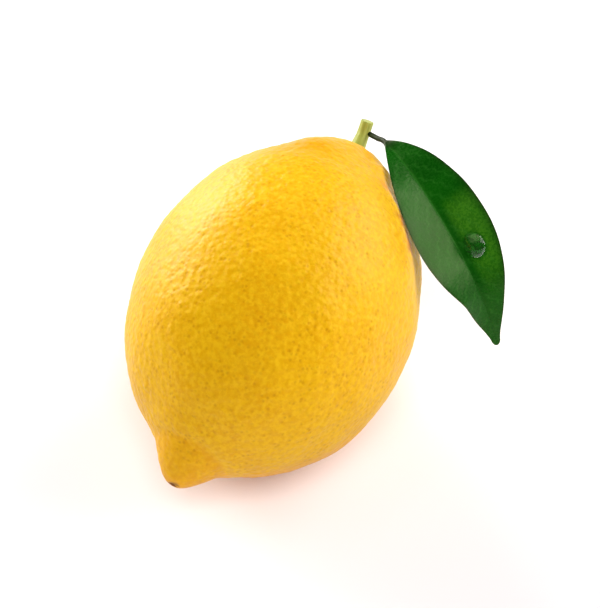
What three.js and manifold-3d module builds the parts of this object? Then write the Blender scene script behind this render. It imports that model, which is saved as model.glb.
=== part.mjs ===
// A lemon lying on its side, with its cut stem, one leaf and a drop of water on the leaf.
// Millimetres, +Z up. The origin is the middle of the flat spot that the fruit rests on.
// Seen from above, +X runs along the fruit from its pointed flower end to its stem,
// and the leaf hangs out on the -Y side.

import * as THREE from "three";
import { mergeVertices } from "three/addons/utils/BufferGeometryUtils.js";
import Module from "manifold-3d";

const wasm = await Module();
wasm.setup();

const DEGREE = Math.PI / 180;
const GAP = 0.3; // clear space between pieces that touch

// The fruit in its own frame: x along its axis towards the stem, y left, z up
const BELLY_RADIUS = 33;
const STEM_END_REACH = 41.3;
const FLOWER_END_REACH = 41.1;
const NIPPLE = {
  length: 7.1,
  radius: 7.3,
  sharpness: 2.3,
  left: 1.85,
  up: 0.6,
  leanLeft: 0.19,
  leanDown: 0.35,
};
const COLLAR = { height: 5.5, radius: 16, sharpness: 4, left: 1 };
const DIMPLE = { depth: 0.9, radius: 4 };
// Slow swells round the fruit; one that twists changes sides between the two ends
const SWELLS = [
  { height: 0.285, lobes: 2, turn: 30 * DEGREE, twists: false },
  { height: 0.295, lobes: 3, turn: 133 * DEGREE, twists: true },
  { height: 0.28, lobes: 5, turn: -60 * DEGREE, twists: false },
];
const RIND_ROUND = 64;
const RIND_RINGS = 44;
const POLE_CROWDING = 0.3; // how far the rings are drawn in towards the two ends

// How the fruit lies: its stem end raised, on a flat spot pressed into its underside
const LIE_TILT = 15 * DEGREE;
const BODY_CENTRE = new THREE.Vector3(4.05, 0, 32.48);

// The stem, with the remains of the calyx round its foot
const STEM_RADIUS = 1.6;
const STEM_FOOT_REACH = 44.6; // where the foot ends, along the fruit's axis
const SOCKET_DEPTH = 0.4; // below the end of the foot
const STEM_BEND = new THREE.Vector3(54.3, 0, 46.9);
const STEM_TOP = new THREE.Vector3(56.2, -0.3, 49.7);
const CALYX = { reach: 46.5, radius: 3.3, lobes: 5, lobeDepth: 0.3 };
// Rings of the calyx: height above its underside, share of its radius, share of its lobes' depth
const CALYX_RINGS = [
  [0.05, 1, 1],
  [0.4, 1, 1],
  [0.7, 0.72, 0.6],
];
// Rings of the stem above the calyx: height above its underside, share of the stem's radius
const NECK_RINGS = [
  [1.2, 1.12],
  [2.2, 1],
];
// Rings of the cut end: distance back from it, share of the stem's radius
const END_RINGS = [
  [2.5, 0.98],
  [1.2, 1],
  [0.25, 1.04],
  [0, 0.92],
];
const STEM_ROUND = 20;

// The leaf: its petiole and midrib as one line, in the lying frame
const PETIOLE_START = new THREE.Vector3(54.4, -2.3, 47.7);
const PETIOLE_BEND = new THREE.Vector3(51.9, -4.6, 50.2);
const MIDRIB = [
  [48.8, -8.1, 51.8],
  [41.8, -18.2, 51.2],
  [34.9, -28.2, 48],
  [30, -37.1, 41.1],
  [27.8, -43.9, 30.8],
  [27.9, -48.1, 19.1],
];
const LEAF_FACING = new THREE.Vector3(-0.6, -0.29, 0.74); // the side that the open fold looks to
// Each half of the blade: its widest reach, how drawn out its base and its tip are, how far its margin
// waves in and out, in how many waves and from what start, and how steeply it rises from the fold
const LEFT_HALF = {
  width: 10.9,
  base: 1.15,
  tip: 1.42,
  wave: 1.15,
  waves: 1.58,
  start: 282 * DEGREE,
  rise: 40.5 * DEGREE,
};
const RIGHT_HALF = {
  width: 9.8,
  base: 1.02,
  tip: 1.35,
  wave: 0.77,
  waves: 1,
  start: 328 * DEGREE,
  rise: 17.5 * DEGREE,
};
const BLADE_THICKNESS = 0.64;
const PETIOLE_RADIUS = 0.55;
const TIP_WIDTH = 0.85;
const TIP_ROUNDING = 0.5; // how much of that the very end loses
const TIP_SUDDENNESS = 60; // the higher, the nearer to the end that it starts
const RIB_AT_TIP = 0.15;
const RIB_WIDTH = 0.9;
const PETIOLE_BLEND = 0.08; // share of the blade over which the round petiole turns flat
const MARGIN_SQUARENESS = 0.4; // 1 is a round section, 0 a square-edged one
const PETIOLE_RINGS = 8;
const BLADE_RINGS = 34;
const LEAF_ROUND = 20;

// The drop of water on the right half of the blade
const AHEAD = 0.02; // a short step along the leaf, to find the way that it runs
const DROP = { along: 0.56, across: 0.42, length: 5.2, width: 4.3, height: 1.5, round: 24, steps: 7 };

const RIND_FINISH = { color: 0xf2bd22, roughness: 0.42, metalness: 0 };
const STEM_FINISH = { color: 0xb9c46c, roughness: 0.6, metalness: 0 };
const LEAF_FINISH = { color: 0x0f4a16, roughness: 0.38, metalness: 0 };
const WATER_FINISH = { color: 0xdcebe2, roughness: 0.05, metalness: 0, transparent: true, opacity: 0.5 };

const LYING = new THREE.Matrix4().makeRotationY(-LIE_TILT).setPosition(BODY_CENTRE);

// A closed solid with shared vertices, ready for joining and cutting
function solidOf(geometry) {
  const bare = geometry.clone();
  bare.deleteAttribute("normal");
  bare.deleteAttribute("uv");
  const merged = mergeVertices(bare);
  const vertProperties = merged.getAttribute("position").array;
  const triVerts = new Uint32Array(merged.getIndex().array);
  return new wasm.Manifold(new wasm.Mesh({ numProp: 3, vertProperties, triVerts }));
}

function geometryOf(solid) {
  const { vertProperties, triVerts } = solid.getMesh();
  const geometry = new THREE.BufferGeometry();
  geometry.setAttribute("position", new THREE.BufferAttribute(vertProperties, 3));
  geometry.setIndex(new THREE.BufferAttribute(triVerts, 1));
  geometry.computeVertexNormals();
  return geometry;
}

function named(name, geometry, finish) {
  const mesh = new THREE.Mesh(geometry, new THREE.MeshStandardMaterial(finish));
  mesh.name = name;
  return mesh;
}

// A point of the rind: the angle from the stem end, and the heading round the axis
function rindPoint(polar, heading) {
  const waist = Math.sin(polar) ** 2;
  let radius = BELLY_RADIUS * Math.sin(polar);
  for (const swell of SWELLS) {
    const side = swell.twists ? 2 * Math.cos(polar) : 1;
    radius += waist * side * swell.height * Math.cos(swell.lobes * heading - swell.turn);
  }
  const point = new THREE.Vector3(0, radius * Math.cos(heading), radius * Math.sin(heading));
  if (Math.cos(polar) > 0) {
    const fromCollar = Math.hypot(point.y - COLLAR.left, point.z) / COLLAR.radius;
    const fromStem = Math.hypot(point.y, point.z) / DIMPLE.radius;
    const collar = COLLAR.height * Math.exp(-(fromCollar ** COLLAR.sharpness));
    point.x = STEM_END_REACH * Math.cos(polar) + collar - DIMPLE.depth * Math.exp(-(fromStem ** 2));
  } else {
    const fromNipple = Math.hypot(point.y - NIPPLE.left, point.z - NIPPLE.up) / NIPPLE.radius;
    const nipple = NIPPLE.length * Math.exp(-(fromNipple ** NIPPLE.sharpness));
    point.x = FLOWER_END_REACH * Math.cos(polar) - nipple;
    point.y += nipple * NIPPLE.leanLeft;
    point.z -= nipple * NIPPLE.leanDown;
  }
  return point;
}

// The rind as a ball whose vertices are moved out to the fruit's shape
function rindBall() {
  const ball = new THREE.SphereGeometry(1, RIND_ROUND, RIND_RINGS);
  const position = ball.getAttribute("position");
  const vertex = new THREE.Vector3();
  for (let i = 0; i < position.count; i++) {
    vertex.fromBufferAttribute(position, i);
    const even = Math.acos(THREE.MathUtils.clamp(vertex.y, -1, 1));
    const polar = even - POLE_CROWDING * Math.sin(2 * even);
    const heading = Math.atan2(vertex.x, vertex.z);
    position.setXYZ(i, ...rindPoint(polar, heading).toArray());
  }
  return ball.applyMatrix4(LYING);
}

// The round hole in the dimple that the foot of the stem stands in
function stemSocket() {
  const bottom = STEM_FOOT_REACH - SOCKET_DEPTH;
  const length = CALYX.reach + COLLAR.height - bottom;
  const socket = new THREE.CylinderGeometry(STEM_RADIUS + GAP, STEM_RADIUS + GAP, length, STEM_ROUND);
  socket.rotateZ(-Math.PI / 2);
  socket.translate(bottom + length / 2, 0, 0);
  return socket.applyMatrix4(LYING);
}

function fruit() {
  const ground = new THREE.BoxGeometry(4 * BELLY_RADIUS, 4 * BELLY_RADIUS, BELLY_RADIUS);
  ground.translate(0, 0, -BELLY_RADIUS / 2);
  const solid = solidOf(rindBall()).subtract(solidOf(ground)).subtract(solidOf(stemSocket()));
  return named("fruit", geometryOf(solid), RIND_FINISH);
}

// A closed skin over rings of points, with a middle point at each end.
// The second half of each ring splits its faces the other way, so a thin blade has like faces on both sides.
function skin(rings) {
  const around = rings[0].length;
  const middle = (ring) => ring.reduce((sum, p) => sum.add(p), new THREE.Vector3()).divideScalar(around);
  const points = [...rings.flat(), middle(rings[0]), middle(rings.at(-1))];
  const [start, end] = [points.length - 2, points.length - 1];
  const faces = [];
  for (let i = 0; i < around; i++) {
    const next = (i + 1) % around;
    faces.push(start, next, i);
    faces.push(end, (rings.length - 1) * around + i, (rings.length - 1) * around + next);
    for (let ring = 0; ring < rings.length - 1; ring++) {
      const [a, b] = [ring * around + i, ring * around + next];
      const [c, d] = [a + around, b + around];
      if (i < around / 2) faces.push(a, b, d, a, d, c);
      else faces.push(a, b, c, b, d, c);
    }
  }
  const geometry = new THREE.BufferGeometry().setFromPoints(points);
  geometry.setIndex(faces);
  geometry.computeVertexNormals();
  return geometry;
}

// The directions across a line at one place: out of the facing side, and to the right of it
function crossFrame(line, share, facing) {
  const along = line.getTangentAt(share);
  const out = facing.clone().addScaledVector(along, -facing.dot(along)).normalize();
  const right = new THREE.Vector3().crossVectors(out, along).normalize();
  return { centre: line.getPointAt(share), out, right };
}

// The stem: rings along its bent line, wide and lobed where the calyx is
function stem() {
  const foot = new THREE.Vector3(STEM_FOOT_REACH, 0, 0).applyMatrix4(LYING);
  const neck = new THREE.Vector3(CALYX.reach + 1, 0, 0).applyMatrix4(LYING);
  const line = new THREE.CatmullRomCurve3([foot, neck, STEM_BEND, STEM_TOP]);
  const length = line.getLength();
  const calyx = CALYX.reach - STEM_FOOT_REACH;
  const profile = [
    [0, STEM_RADIUS, 0],
    [calyx, STEM_RADIUS, 0],
    ...CALYX_RINGS.map(([up, wide, deep]) => [calyx + up, wide * CALYX.radius, deep * CALYX.lobeDepth]),
    ...NECK_RINGS.map(([up, wide]) => [calyx + up, wide * STEM_RADIUS, 0]),
    ...END_RINGS.map(([back, wide]) => [length - back, wide * STEM_RADIUS, 0]),
  ];
  const rings = profile.map(([distance, radius, lobe]) => {
    const { centre, out, right } = crossFrame(line, distance / length, new THREE.Vector3(0, 0, 1));
    return Array.from({ length: STEM_ROUND }, (_, i) => {
      const angle = (2 * Math.PI * i) / STEM_ROUND;
      const reach = radius * (1 - lobe * Math.sin((CALYX.lobes * angle) / 2) ** 2);
      return centre
        .clone()
        .addScaledVector(right, reach * Math.cos(angle))
        .addScaledVector(out, reach * Math.sin(angle));
    });
  });
  return named("stem", skin(rings), STEM_FINISH);
}

const leafLine = new THREE.CatmullRomCurve3([
  PETIOLE_START,
  PETIOLE_BEND,
  ...MIDRIB.map((point) => new THREE.Vector3(...point)),
]);
const leafLength = leafLine.getLength();
const bladeStart = new THREE.Vector3(...MIDRIB[0]);
const petioleLength = PETIOLE_START.distanceTo(PETIOLE_BEND) + PETIOLE_BEND.distanceTo(bladeStart);
const petioleShare = petioleLength / leafLength;

// How far a half of the blade reaches from the midrib, at a share of the blade's length
function halfWidth(half, along) {
  const widest = half.base / (half.base + half.tip);
  const oval = (along / widest) ** half.base * ((1 - along) / (1 - widest)) ** half.tip;
  const wave = Math.sin(2 * Math.PI * half.waves * along ** 2 + half.start);
  return half.width * oval + half.wave * Math.sin(Math.PI * along) * wave;
}

// The middle of the blade's thickness: a share along it, and a place across it from -1, left, to 1, right
function bladePoint(share, across) {
  const along = THREE.MathUtils.clamp((share - petioleShare) / (1 - petioleShare), 0, 1);
  const { centre, out, right } = crossFrame(leafLine, share, LEAF_FACING);
  const half = across < 0 ? LEFT_HALF : RIGHT_HALF;
  const rounded = 1 - TIP_ROUNDING * along ** TIP_SUDDENNESS;
  const stalk = THREE.MathUtils.lerp(PETIOLE_RADIUS, TIP_WIDTH, along) * rounded;
  const width = Math.hypot(halfWidth(half, along), stalk) * across;
  const rise = Math.abs(halfWidth(half, along) * across) * Math.sin(half.rise);
  const flat = Math.sqrt(Math.max(width ** 2 - rise ** 2, 0)) * Math.sign(across);
  centre.addScaledVector(right, flat).addScaledVector(out, rise);
  return { centre, out, along, width };
}

// The petiole is round; the blade is thin, with the midrib standing out of its underside
function leaf() {
  const shares = [];
  for (let i = 0; i < PETIOLE_RINGS; i++) shares.push((petioleShare * i) / PETIOLE_RINGS);
  for (let i = 0; i <= BLADE_RINGS; i++) shares.push(petioleShare + ((1 - petioleShare) * i) / BLADE_RINGS);
  const rings = shares.map((share) =>
    Array.from({ length: LEAF_ROUND }, (_, i) => {
      const angle = (2 * Math.PI * i) / LEAF_ROUND;
      const { centre, out, along, width } = bladePoint(share, Math.cos(angle));
      const opened = THREE.MathUtils.smoothstep(along, 0, PETIOLE_BLEND);
      const thickness = THREE.MathUtils.lerp(PETIOLE_RADIUS, BLADE_THICKNESS / 2, opened);
      const squareness = THREE.MathUtils.lerp(1, MARGIN_SQUARENESS, opened);
      const side = Math.sign(Math.sin(angle));
      const rib = side < 0 ? opened * THREE.MathUtils.lerp(PETIOLE_RADIUS, RIB_AT_TIP, along) : 0;
      const lift = thickness * Math.abs(Math.sin(angle)) ** squareness;
      return centre.addScaledVector(out, side * (lift + rib * Math.exp(-((width / RIB_WIDTH) ** 2))));
    }),
  );
  return named("leaf", skin(rings), LEAF_FINISH);
}

// A low dome of water, flat underneath, its long way along the blade
function waterDrop() {
  const profile = [new THREE.Vector2(0, 0)];
  for (let i = 0; i <= DROP.steps; i++) {
    const angle = ((Math.PI / 2) * i) / DROP.steps;
    profile.push(new THREE.Vector2(i < DROP.steps ? Math.cos(angle) : 0, Math.sin(angle)));
  }
  const dome = new THREE.LatheGeometry(profile, DROP.round);
  dome.scale(DROP.width / 2, DROP.height, DROP.length / 2);
  const share = petioleShare + (1 - petioleShare) * DROP.along;
  const seat = bladePoint(share, DROP.across).centre;
  const inner = bladePoint(share, DROP.across / 2).centre;
  const ahead = bladePoint(share + AHEAD, DROP.across).centre;
  const right = seat.clone().sub(inner).normalize();
  const up = new THREE.Vector3().crossVectors(ahead.sub(seat), right).normalize();
  const along = new THREE.Vector3().crossVectors(right, up);
  dome.applyMatrix4(new THREE.Matrix4().makeBasis(right, up, along));
  seat.addScaledVector(up, BLADE_THICKNESS / 2 + GAP);
  dome.translate(...seat.toArray());
  return named("water_drop", geometryOf(solidOf(dome)), WATER_FINISH);
}

const lemon = new THREE.Group();
lemon.add(fruit(), stem(), leaf(), waterDrop());

export default lemon;
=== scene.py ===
# %% [markdown]
# # A lemon with its stem, a leaf and a drop of water
#
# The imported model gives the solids: the fruit, the stem, the leaf and the drop, at their real
# size and place. This lesson dresses them. Each piece is computed again as a fine surface from
# the same few dimensions, so it stays inside the space that its solid holds, and then it gets
# the small things that the solids leave out: oil glands, veins, ridges and the wetness of water.
# All sizes are in millimetres in the fruit's own frame, and become metres in the meshes.

# %% Load the frame
import math

import bpy
import numpy as np
from mathutils import Matrix


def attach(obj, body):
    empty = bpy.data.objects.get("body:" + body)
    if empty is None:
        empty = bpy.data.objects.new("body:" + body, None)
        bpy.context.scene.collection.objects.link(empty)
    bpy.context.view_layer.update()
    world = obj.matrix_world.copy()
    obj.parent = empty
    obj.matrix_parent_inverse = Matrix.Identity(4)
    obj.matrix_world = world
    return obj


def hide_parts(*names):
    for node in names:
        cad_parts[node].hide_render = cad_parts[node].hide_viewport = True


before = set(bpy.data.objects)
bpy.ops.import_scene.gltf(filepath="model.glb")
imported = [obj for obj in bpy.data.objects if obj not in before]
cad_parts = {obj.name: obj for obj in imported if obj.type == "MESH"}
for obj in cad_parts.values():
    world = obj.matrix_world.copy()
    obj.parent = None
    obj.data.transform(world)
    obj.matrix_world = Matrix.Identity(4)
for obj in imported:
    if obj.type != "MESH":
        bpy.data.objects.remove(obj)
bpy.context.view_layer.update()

MM = 0.001
print("nodes:", {name: len(node.data.polygons) for name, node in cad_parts.items()})

# %% [markdown]
# ## How the fruit lies
#
# The fruit's shape is easiest to say about its own axis, with x towards the stem. A lemon on a
# table lies on its belly with the stem end a little raised, so every point is turned about the
# y axis and lifted. The same turn serves the rind, the stem and anything that grows on them.
# Two soft shapes of a number are used all through the lesson: a bell, and a blend from 0 to 1.

# %% From the fruit's own frame to the lying fruit
LIE_TILT = math.radians(15)
BODY_CENTRE = np.array([4.05, 0.0, 32.48])


def lay_down(points):
    """Turns points about the y axis so that x rises by the tilt, then lifts them to the body's centre."""
    x, y, z = np.moveaxis(np.asarray(points, float), -1, 0)
    lying_x = x * math.cos(LIE_TILT) - z * math.sin(LIE_TILT)
    lying_z = x * math.sin(LIE_TILT) + z * math.cos(LIE_TILT)
    return np.stack([lying_x, y, lying_z], -1) + BODY_CENTRE


def unit(vectors):
    """Each vector divided by its own length."""
    return vectors / np.linalg.norm(vectors, axis=-1, keepdims=True)


def bell(value, middle, width):
    """One at the middle; the exponential of minus the square of the distance over the width."""
    return np.exp(-(((value - middle) / width) ** 2))


def blend_in(value, start, end):
    """Zero up to start and one from end; between them 3 s^2 - 2 s^3 of the share s of the way."""
    share = np.clip((value - start) / (end - start), 0, 1)
    return share * share * (3 - 2 * share)


# %% [markdown]
# ## The camera
#
# The camera is a long lens that looks down at the fruit, from the side where the leaf hangs.
# Its place follows from three facts: which way it looks, how far off it is, and where in the
# picture the middle of the fruit falls. Working it out this way keeps the picture's framing
# without any lens shift.

# %% Place the camera
PICTURE = (600, 608)
LENS_MM, SENSOR_MM = 100.0, 36.0
LOOK_DOWN = math.radians(48)
LOOK_ROUND = math.radians(25.56)
CAMERA_DISTANCE = 396.0
BODY_CENTRE_PIXEL = (273.8, 310.0)


def camera_axes():
    """Right, up and forward of a camera turned round the upright by one angle and down by the other."""
    level = np.array([math.cos(LOOK_ROUND), math.sin(LOOK_ROUND), 0.0])
    upright = np.array([0.0, 0.0, 1.0])
    forward = math.cos(LOOK_DOWN) * level - math.sin(LOOK_DOWN) * upright
    right = np.cross(level, upright)
    return right, np.cross(right, forward), forward


def set_place(thing, right, up, back, place_mm):
    """Gives an object its three axes and its place; a camera or a lamp looks against its third axis."""
    turned = np.eye(4)
    turned[:3] = np.stack([right, up, back, np.asarray(place_mm) * MM], 1)
    thing.matrix_world = Matrix(turned.tolist())
    bpy.context.scene.collection.objects.link(thing)


def place_camera():
    """Steps back from the body's centre, and sideways by what its pixel is off the picture's middle."""
    right, up, forward = camera_axes()
    pixels_per_unit = LENS_MM / SENSOR_MM * max(PICTURE)
    sideways = (BODY_CENTRE_PIXEL[0] - PICTURE[0] / 2) / pixels_per_unit * CAMERA_DISTANCE
    upwards = (PICTURE[1] / 2 - BODY_CENTRE_PIXEL[1]) / pixels_per_unit * CAMERA_DISTANCE
    place = BODY_CENTRE - CAMERA_DISTANCE * forward - sideways * right - upwards * up
    data = bpy.data.cameras.new("camera")
    data.lens = LENS_MM
    data.sensor_width = SENSOR_MM
    data.clip_start = 0.01
    camera = bpy.data.objects.new("camera", data)
    set_place(camera, right, up, -forward, place)
    bpy.context.scene.camera = camera
    return place


print("camera at", np.round(place_camera(), 1), "mm")

# %% [markdown]
# ## Skins
#
# Every piece here is a closed skin over a grid: rows run along the piece, columns run round it,
# and a single point closes each end. One helper turns such a grid into a mesh, so that each
# piece only has to say where its points are. Values that a finish needs, such as where the
# brown scar is, ride along as attributes of the mesh.

# %% A closed skin over rows of points
def skin(name, rows, start, end, values):
    """Joins neighbouring rows with four-sided faces and fans the first and last row to an end point."""
    count, around = rows.shape[:2]
    points = np.concatenate([rows.reshape(-1, 3), [start, end]]) * MM
    row, column = np.meshgrid(np.arange(count - 1), np.arange(around), indexing="ij")
    after = (column + 1) % around
    corner = row * around + column
    beside = row * around + after
    sides = np.stack([corner, beside, beside + around, corner + around], -1).reshape(-1, 4)
    first = np.arange(around)
    second = (first + 1) % around
    last = (count - 1) * around
    start_fan = np.stack([np.full(around, count * around), second, first], -1)
    end_fan = np.stack([np.full(around, count * around + 1), last + first, last + second], -1)
    mesh = bpy.data.meshes.new(name)
    mesh.from_pydata(points.tolist(), [], sides.tolist() + start_fan.tolist() + end_fan.tolist())
    mesh.polygons.foreach_set("use_smooth", np.ones(len(mesh.polygons), bool))
    for value_name, (grid, at_start, at_end) in values.items():
        layer = mesh.attributes.new(value_name, "FLOAT", "POINT")
        layer.data.foreach_set("value", np.append(grid.ravel(), [at_start, at_end]))
    mesh.update()
    piece = bpy.data.objects.new(name, mesh)
    bpy.context.scene.collection.objects.link(piece)
    print(name, len(mesh.vertices), "points,", 2 * len(sides) + 2 * around, "triangles")
    return piece


# %% [markdown]
# ## The fruit
#
# The body is an egg of two half-ellipsoids with one belly. The pointed nipple at the flower end
# and the collar at the stem end are soft-edged pushes along the axis: each is strong near the
# axis and dies away past its own radius, and the power in it says how suddenly. A few slow
# swells round the girth keep it from looking turned on a lathe.

# %% The fruit's dimensions
BELLY_RADIUS = 33.0
STEM_END_REACH = 41.3
FLOWER_END_REACH = 41.1
NIPPLE = dict(length=7.1, radius=7.3, sharpness=2.3, left=1.85, up=0.6, lean_left=0.19, lean_down=0.35)
COLLAR = dict(height=5.5, radius=16.0, sharpness=4.0, left=1.0)
DIMPLE = dict(depth=0.9, radius=4.0)
SWELLS = (
    dict(height=0.285, lobes=2, turn=math.radians(30), twists=False),
    dict(height=0.295, lobes=3, turn=math.radians(133), twists=True),
    dict(height=0.28, lobes=5, turn=math.radians(-60), twists=False),
)


def rind_point(polar, heading):
    """A point of the smooth rind: the angle from the stem end, and the heading round the axis.
    The radius is the belly's times the sine of the angle, plus each swell; x is the reach of
    that end times the cosine, pushed out by the collar or the nipple and in by the dimple."""
    waist = np.sin(polar) ** 2
    radius = BELLY_RADIUS * np.sin(polar)
    for swell in SWELLS:
        side = 2 * np.cos(polar) if swell["twists"] else 1.0
        radius = radius + waist * side * swell["height"] * np.cos(swell["lobes"] * heading - swell["turn"])
    y, z = radius * np.cos(heading), radius * np.sin(heading)
    stem_half = np.cos(polar) > 0
    from_nipple = np.hypot(y - NIPPLE["left"], z - NIPPLE["up"]) / NIPPLE["radius"]
    nipple = np.where(stem_half, 0, NIPPLE["length"] * np.exp(-(from_nipple ** NIPPLE["sharpness"])))
    from_collar = np.hypot(y - COLLAR["left"], z) / COLLAR["radius"]
    collar = np.where(stem_half, COLLAR["height"] * np.exp(-(from_collar ** COLLAR["sharpness"])), 0)
    from_stem = np.hypot(y, z) / DIMPLE["radius"]
    dimple = np.where(stem_half, DIMPLE["depth"] * np.exp(-(from_stem**2)), 0)
    x = np.where(stem_half, STEM_END_REACH, FLOWER_END_REACH) * np.cos(polar) + collar - dimple - nipple
    return np.stack([x, y + nipple * NIPPLE["lean_left"], z - nipple * NIPPLE["lean_down"]], -1)


# %% The grid of the rind
RIND_ROWS, RIND_COLUMNS = 250, 396
POLE_CROWDING = 0.1

even = np.linspace(0, math.pi, RIND_ROWS + 2)[1:-1]
polar, heading = np.meshgrid(
    even - POLE_CROWDING * np.sin(2 * even),
    np.arange(RIND_COLUMNS) / RIND_COLUMNS * 2 * math.pi,
    indexing="ij",
)
smooth = rind_point(polar, heading)
NUDGE = 1e-3
along_step = rind_point(polar + NUDGE, heading) - rind_point(polar - NUDGE, heading)
round_step = rind_point(polar, heading + NUDGE) - rind_point(polar, heading - NUDGE)
outward = unit(np.cross(along_step, round_step))
row_distance = np.linalg.norm(np.diff(smooth, axis=0), axis=-1).mean(1)
along_meridian = np.append(0, np.cumsum(row_distance))
print("rind: one way round the ends is", round(float(along_meridian[-1]), 1), "mm")

# %% [markdown]
# ## Oil glands
#
# A lemon's rind is full of small glands, and each one shows as a shallow pit. On the real fruit
# they stand less than two millimetres apart, evenly but never in line. Here they are set in rings
# round the fruit: each ring holds as many as its girth has room for, and a seeded draw shifts
# each gland within its place and gives it its own depth and width. For every point of the grid
# only the nine nearest places are asked, as whole arrays. The soft hollow about each gland goes
# into the surface. The pores proper are finer than the grid, and the finish draws them.

# %% Pits of the oil glands
GLAND_SPACING = 1.50
GLAND_WANDER = 0.25
GLAND_WIDTH = (0.46, 0.66)
GLAND_STRENGTH = (2.2, 1.6)
draw = np.random.default_rng(7)


def gland_pits(along, polar, heading):
    """Adds up, over the near glands, each one's strength times a bell of its distance, and counts
    the glands. A ring's glands share out its girth, two pi times the radius at that ring."""
    row_height = GLAND_SPACING * math.sqrt(3) / 2
    rows = int(along_meridian[-1] / row_height) + 1
    row_middle = (np.arange(rows) + 0.5) * row_height
    girth = 2 * math.pi * BELLY_RADIUS * np.sin(np.interp(row_middle, along_meridian, polar[:, 0]))
    in_row = np.maximum(np.round(girth / GLAND_SPACING), 3).astype(int)
    most = in_row.max()
    shift_along, shift_round = draw.uniform(-GLAND_WANDER, GLAND_WANDER, (2, rows, most))
    width = draw.uniform(*GLAND_WIDTH, (rows, most))
    strength = draw.beta(*GLAND_STRENGTH, (rows, most))
    stagger = draw.uniform(0, 1, rows)
    own_row = np.clip((along / row_height).astype(int), 0, rows - 1)
    total = np.zeros_like(heading)
    for row_step in (-1, 0, 1):
        row = np.clip(own_row + row_step, 0, rows - 1)
        present = own_row + row_step == row
        place = heading / (2 * math.pi) * in_row[row] - stagger[row]
        for place_step in (-1, 0, 1):
            slot = np.floor(place).astype(int) + place_step
            gland = slot % in_row[row]
            off_along = along - (row + 0.5 + shift_along[row, gland]) * row_height
            off_round = (place - slot - 0.5 - shift_round[row, gland]) * GLAND_SPACING
            distance = np.hypot(off_along, off_round)
            total += present * strength[row, gland] * bell(distance, 0, width[row, gland])
    return total, in_row.sum()


along_grid = np.broadcast_to(along_meridian[:, None], polar.shape)
hollow_about_gland, gland_count = gland_pits(along_grid, polar, heading)
print("oil glands:", int(gland_count))

# %% [markdown]
# ## Slow and quick unevenness
#
# Between the pits the rind is not level either. Soft hollows a centimetre or two wide bend the
# highlights, and a pebbling a few millimetres wide breaks them up. Both are sums of waves that
# run in seeded random directions through space, so they have no seam and no grain.

# %% Waves in random directions
def waves(points, shortest, longest, count):
    """The sum of cosines of (place . direction) / length + start, each drawn at random, times the
    root of two over their count, which makes the usual height one."""
    directions = unit(draw.normal(size=(count, 3)))
    lengths = draw.uniform(shortest, longest, (count, 1))
    starts = draw.uniform(0, 2 * math.pi, count)
    phases = points.reshape(-1, 3) @ (directions / lengths * 2 * math.pi).T + starts
    return (np.cos(phases).sum(1) * math.sqrt(2 / count)).reshape(points.shape[:-1])


SKIN_SINK = 0.10
HOLLOW_DEPTH, HOLLOW_LENGTHS, HOLLOW_WAVES = 0.11, (9, 24), 48
PEBBLE_DEPTH, PEBBLE_LENGTHS, PEBBLE_WAVES = 0.038, (1.9, 3.4), 160
PIT_DEPTH = 0.055

hollows = waves(smooth, *HOLLOW_LENGTHS, HOLLOW_WAVES)
pebbles = waves(smooth, *PEBBLE_LENGTHS, PEBBLE_WAVES)
relief = PIT_DEPTH * hollow_about_gland - HOLLOW_DEPTH * hollows - PEBBLE_DEPTH * pebbles
print("relief from", round(float(relief.min()), 2), "to", round(float(relief.max()), 2), "mm deep")

# %% [markdown]
# ## The two ends and the rub mark
#
# The nipple is set off from the belly by a furrow with a low ridge outside it, deepest on the
# side that faces up. Its tip keeps the small brown scar of the flower's style. The collar has
# two soft knobs with a notch between them, and faint creases gather round the stem. Where the
# fruit hung against its own leaf, the rind is rubbed brown in small specks. It is warmer in
# colour on one shoulder and at both ends. It is a darker orange in the furrow and underneath,
# which is painted shade, and paler on the ridge, which is a painted highlight. The whole skin is
# sunk a little below the smooth form, so that ridges and pebbles stay inside the space of the solid.

# %% Furrow, scar and creases
FURROW = dict(radius=8.5, width=1.5, depth=0.28, fade=0.7)
RIDGE = dict(radius=11.2, width=2.1, height=0.45)
FURROW_FACES = math.radians(120)
SCAR = dict(place=(-48.2, 3.0, -1.6), radius=1.25, edge=0.16, depth=0.20)
SCAR_WOBBLES = ((0.25, 3, 1.0), (0.15, 5, 0.0))
CREASES = dict(count=11, bend=2.0, radius=5.5, width=3.0, depth=0.10)

flower_tip = rind_point(np.array([math.pi]), np.zeros(1))[0]
stem_pole = rind_point(np.array([0.0]), np.zeros(1))[0]
from_tip = np.linalg.norm(smooth - flower_tip, axis=-1)
from_stem = np.linalg.norm(smooth - stem_pole, axis=-1)

beside_nipple = smooth[..., 1:] - (NIPPLE["left"], NIPPLE["up"])
off_nipple = np.linalg.norm(beside_nipple, axis=-1)
faces = np.arctan2(beside_nipple[..., 1], beside_nipple[..., 0]) - FURROW_FACES
furrow_share = np.where(smooth[..., 0] < 0, 0.5 + 0.5 * np.cos(faces), 0) ** FURROW["fade"]
furrow = furrow_share * bell(off_nipple, FURROW["radius"], FURROW["width"])
ridge = furrow_share * bell(off_nipple, RIDGE["radius"], RIDGE["width"])

from_scar = np.linalg.norm(smooth - SCAR["place"], axis=-1)
wobble = sum(size * np.cos(times * heading + start) for size, times, start in SCAR_WOBBLES)
scar_edge = SCAR["radius"] * (1 + wobble)
scar = 1 / (1 + np.exp((from_scar - scar_edge) / SCAR["edge"]))
creases = bell(from_stem, CREASES["radius"], CREASES["width"]) * np.cos(
    CREASES["count"] * heading + CREASES["bend"] * np.sin(3 * heading)
)
deepest, highest = FURROW["depth"] * furrow.max(), RIDGE["height"] * ridge.max()
print("furrow", round(float(deepest), 2), "mm deep, ridge", round(float(highest), 2), "mm high")


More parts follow.
